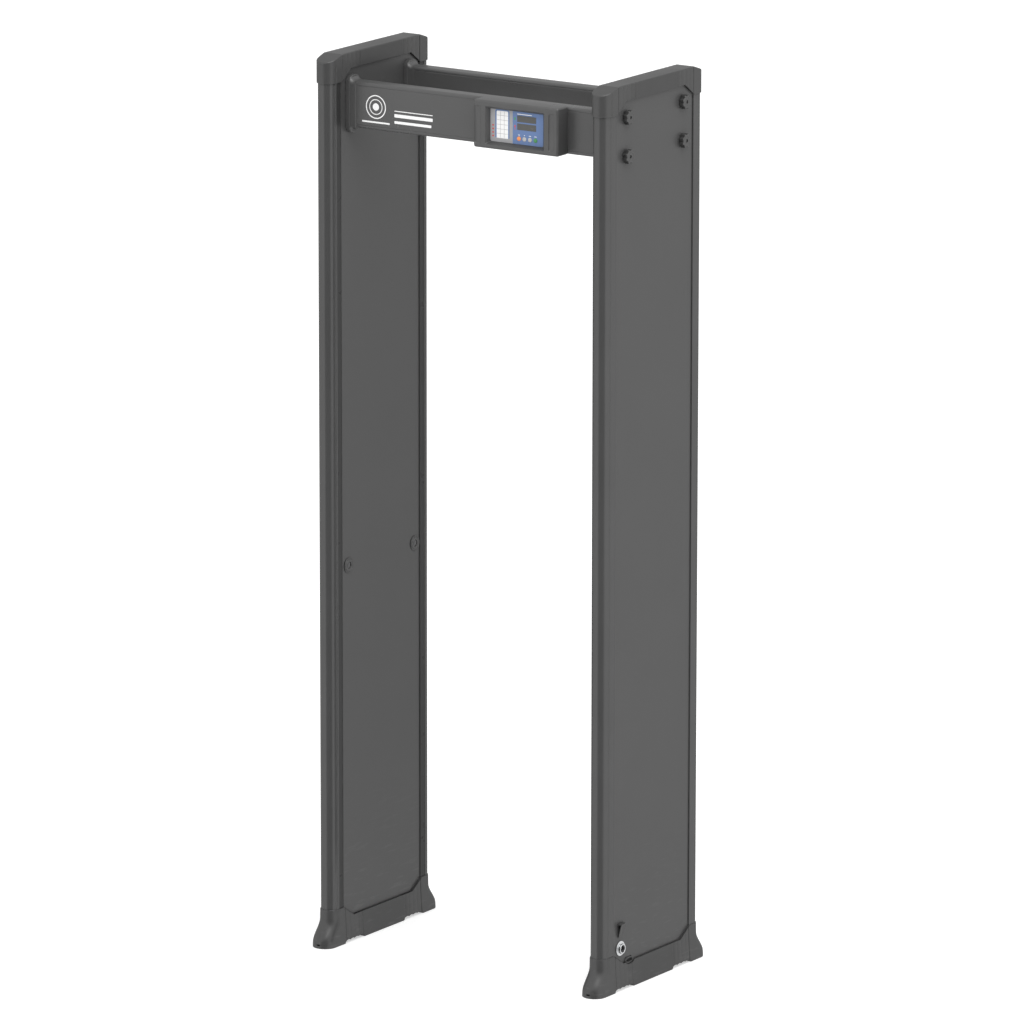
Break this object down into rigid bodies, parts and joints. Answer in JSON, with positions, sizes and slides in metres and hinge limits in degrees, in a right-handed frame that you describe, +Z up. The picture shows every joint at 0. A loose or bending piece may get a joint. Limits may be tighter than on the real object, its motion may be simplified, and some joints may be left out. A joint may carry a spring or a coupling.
{
  "type": "walk-through security gate",
  "caption": "Free-standing walk-through detector gate: coil uprights on flared feet, joined by crossbars with a control console.",
  "frame": {"origin": "on the floor, midway between the two uprights and midway from front to rear", "axes": "+Z up, +X towards the upright with the power inlet, -Y towards the side with the control console"},
  "size_m": [0.8622, 0.49, 2.22],
  "materials": {
    "painted_profile": "satin mid-grey powder coat",
    "laminate_panel": "fine matt mid-grey laminate",
    "moulded_grey": "satin moulded plastic, mid-grey",
    "knob_plastic": "satin moulded plastic, mid-grey",
    "console_plastic": "fine-textured moulded plastic, mid-grey",
    "foam_core": "rigid foam board",
    "coil_wire": "enamelled copper wire",
    "sensor_housing": "grey ring with a dark infrared window",
    "bright_steel": "zinc-plated",
    "bright_chrome": "polished nickel plate",
    "black_plastic": "matt insulator",
    "black_rubber": "soft matt rubber",
    "printed_sheet": "printed overlay, light grey and blue fields",
    "circuit_board": "solder mask",
    "display_window": "smoked window, unlit",
    "button_orange": "satin",
    "button_light": "satin",
    "button_green": "satin"
  },
  "bodies": {
    "root": {"right_front_profile": "painted_profile", "right_rear_profile": "painted_profile", "right_inner_panel": "laminate_panel", "right_outer_panel": "laminate_panel", "right_coil_former": "foam_core", "right_coil_winding": "coil_wire", "right_top_spacer": "foam_core", "right_top_cap": "moulded_grey", "right_foot": "moulded_grey", "right_front_beam_sensor": "sensor_housing", "right_rear_beam_sensor": "sensor_housing", "left_front_profile": "painted_profile", "left_rear_profile": "painted_profile", "left_inner_panel": "laminate_panel", "left_outer_panel": "laminate_panel", "left_coil_former": "foam_core", "left_coil_winding": "coil_wire", "left_top_spacer": "foam_core", "left_top_cap": "moulded_grey", "left_foot": "moulded_grey", "left_front_beam_sensor": "sensor_housing", "left_rear_beam_sensor": "sensor_housing", "power_inlet_shell": "bright_chrome", "power_inlet_contacts": "black_plastic", "cable_clip": "moulded_grey", "cable_grommet": "black_rubber", "front_crossbar": "painted_profile", "rear_crossbar": "painted_profile", "front_left_flange": "moulded_grey", "front_right_flange": "moulded_grey", "rear_left_flange": "moulded_grey", "rear_right_flange": "moulded_grey", "console_housing": "console_plastic", "console_back_plate": "console_plastic", "control_screen_sheet": "printed_sheet", "control_board": "circuit_board", "upper_display": "display_window", "lower_display": "display_window"},
    "right_front_upper_washer": {"right_front_upper_washer": "bright_steel"},
    "right_front_upper_knob": {"right_front_upper_knob": "knob_plastic"},
    "right_front_lower_washer": {"right_front_lower_washer": "bright_steel"},
    "right_front_lower_knob": {"right_front_lower_knob": "knob_plastic"},
    "right_rear_upper_washer": {"right_rear_upper_washer": "bright_steel"},
    "right_rear_upper_knob": {"right_rear_upper_knob": "knob_plastic"},
    "right_rear_lower_washer": {"right_rear_lower_washer": "bright_steel"},
    "right_rear_lower_knob": {"right_rear_lower_knob": "knob_plastic"},
    "left_front_upper_washer": {"left_front_upper_washer": "bright_steel"},
    "left_front_upper_knob": {"left_front_upper_knob": "knob_plastic"},
    "left_front_lower_washer": {"left_front_lower_washer": "bright_steel"},
    "left_front_lower_knob": {"left_front_lower_knob": "knob_plastic"},
    "left_rear_upper_washer": {"left_rear_upper_washer": "bright_steel"},
    "left_rear_upper_knob": {"left_rear_upper_knob": "knob_plastic"},
    "left_rear_lower_washer": {"left_rear_lower_washer": "bright_steel"},
    "left_rear_lower_knob": {"left_rear_lower_knob": "knob_plastic"},
    "push_button_1": {"push_button_1": "button_orange"},
    "push_button_2": {"push_button_2": "button_light"},
    "push_button_3": {"push_button_3": "button_light"},
    "push_button_4": {"push_button_4": "button_green"}
  },
  "joints": [
    {"name": "right_front_upper_knob_back_out", "type": "slide", "parent": "root", "child": "right_front_upper_washer", "axis": [1, 0, 0], "range_m": [0, 0.0075]},
    {"name": "right_front_upper_knob_turn", "type": "hinge", "parent": "right_front_upper_washer", "child": "right_front_upper_knob", "pos_m": [0.396, -0.1235, 2.141], "axis": [1, 0, 0], "range_deg": [0, 2160]},
    {"name": "right_front_lower_knob_back_out", "type": "slide", "parent": "root", "child": "right_front_lower_washer", "axis": [1, 0, 0], "range_m": [0, 0.0075]},
    {"name": "right_front_lower_knob_turn", "type": "hinge", "parent": "right_front_lower_washer", "child": "right_front_lower_knob", "pos_m": [0.396, -0.1235, 2.047], "axis": [1, 0, 0], "range_deg": [0, 2160]},
    {"name": "right_rear_upper_knob_back_out", "type": "slide", "parent": "root", "child": "right_rear_upper_washer", "axis": [1, 0, 0], "range_m": [0, 0.0075]},
    {"name": "right_rear_upper_knob_turn", "type": "hinge", "parent": "right_rear_upper_washer", "child": "right_rear_upper_knob", "pos_m": [0.396, 0.1235, 2.141], "axis": [1, 0, 0], "range_deg": [0, 2160]},
    {"name": "right_rear_lower_knob_back_out", "type": "slide", "parent": "root", "child": "right_rear_lower_washer", "axis": [1, 0, 0], "range_m": [0, 0.0075]},
    {"name": "right_rear_lower_knob_turn", "type": "hinge", "parent": "right_rear_lower_washer", "child": "right_rear_lower_knob", "pos_m": [0.396, 0.1235, 2.047], "axis": [1, 0, 0], "range_deg": [0, 2160]},
    {"name": "left_front_upper_knob_back_out", "type": "slide", "parent": "root", "child": "left_front_upper_washer", "axis": [-1, 0, 0], "range_m": [0, 0.0075]},
    {"name": "left_front_upper_knob_turn", "type": "hinge", "parent": "left_front_upper_washer", "child": "left_front_upper_knob", "pos_m": [-0.396, -0.1235, 2.141], "axis": [-1, 0, 0], "range_deg": [0, 2160]},
    {"name": "left_front_lower_knob_back_out", "type": "slide", "parent": "root", "child": "left_front_lower_washer", "axis": [-1, 0, 0], "range_m": [0, 0.0075]},
    {"name": "left_front_lower_knob_turn", "type": "hinge", "parent": "left_front_lower_washer", "child": "left_front_lower_knob", "pos_m": [-0.396, -0.1235, 2.047], "axis": [-1, 0, 0], "range_deg": [0, 2160]},
    {"name": "left_rear_upper_knob_back_out", "type": "slide", "parent": "root", "child": "left_rear_upper_washer", "axis": [-1, 0, 0], "range_m": [0, 0.0075]},
    {"name": "left_rear_upper_knob_turn", "type": "hinge", "parent": "left_rear_upper_washer", "child": "left_rear_upper_knob", "pos_m": [-0.396, 0.1235, 2.141], "axis": [-1, 0, 0], "range_deg": [0, 2160]},
    {"name": "left_rear_lower_knob_back_out", "type": "slide", "parent": "root", "child": "left_rear_lower_washer", "axis": [-1, 0, 0], "range_m": [0, 0.0075]},
    {"name": "left_rear_lower_knob_turn", "type": "hinge", "parent": "left_rear_lower_washer", "child": "left_rear_lower_knob", "pos_m": [-0.396, 0.1235, 2.047], "axis": [-1, 0, 0], "range_deg": [0, 2160]},
    {"name": "push_button_1_press", "type": "slide", "parent": "root", "child": "push_button_1", "axis": [0, 1, 0], "range_m": [0, 0.0012], "stiffness_N_per_m": 600, "springref_m": -0.0005},
    {"name": "push_button_2_press", "type": "slide", "parent": "root", "child": "push_button_2", "axis": [0, 1, 0], "range_m": [0, 0.0012], "stiffness_N_per_m": 600, "springref_m": -0.0005},
    {"name": "push_button_3_press", "type": "slide", "parent": "root", "child": "push_button_3", "axis": [0, 1, 0], "range_m": [0, 0.0012], "stiffness_N_per_m": 600, "springref_m": -0.0005},
    {"name": "push_button_4_press", "type": "slide", "parent": "root", "child": "push_button_4", "axis": [0, 1, 0], "range_m": [0, 0.0012], "stiffness_N_per_m": 600, "springref_m": -0.0005}
  ],
  "couplings": [
    {"joint": "right_front_upper_knob_turn", "follows": "right_front_upper_knob_back_out", "rad_per_m": 5026.5},
    {"joint": "right_front_lower_knob_turn", "follows": "right_front_lower_knob_back_out", "rad_per_m": 5026.5},
    {"joint": "right_rear_upper_knob_turn", "follows": "right_rear_upper_knob_back_out", "rad_per_m": 5026.5},
    {"joint": "right_rear_lower_knob_turn", "follows": "right_rear_lower_knob_back_out", "rad_per_m": 5026.5},
    {"joint": "left_front_upper_knob_turn", "follows": "left_front_upper_knob_back_out", "rad_per_m": 5026.5},
    {"joint": "left_front_lower_knob_turn", "follows": "left_front_lower_knob_back_out", "rad_per_m": 5026.5},
    {"joint": "left_rear_upper_knob_turn", "follows": "left_rear_upper_knob_back_out", "rad_per_m": 5026.5},
    {"joint": "left_rear_lower_knob_turn", "follows": "left_rear_lower_knob_back_out", "rad_per_m": 5026.5}
  ]
}
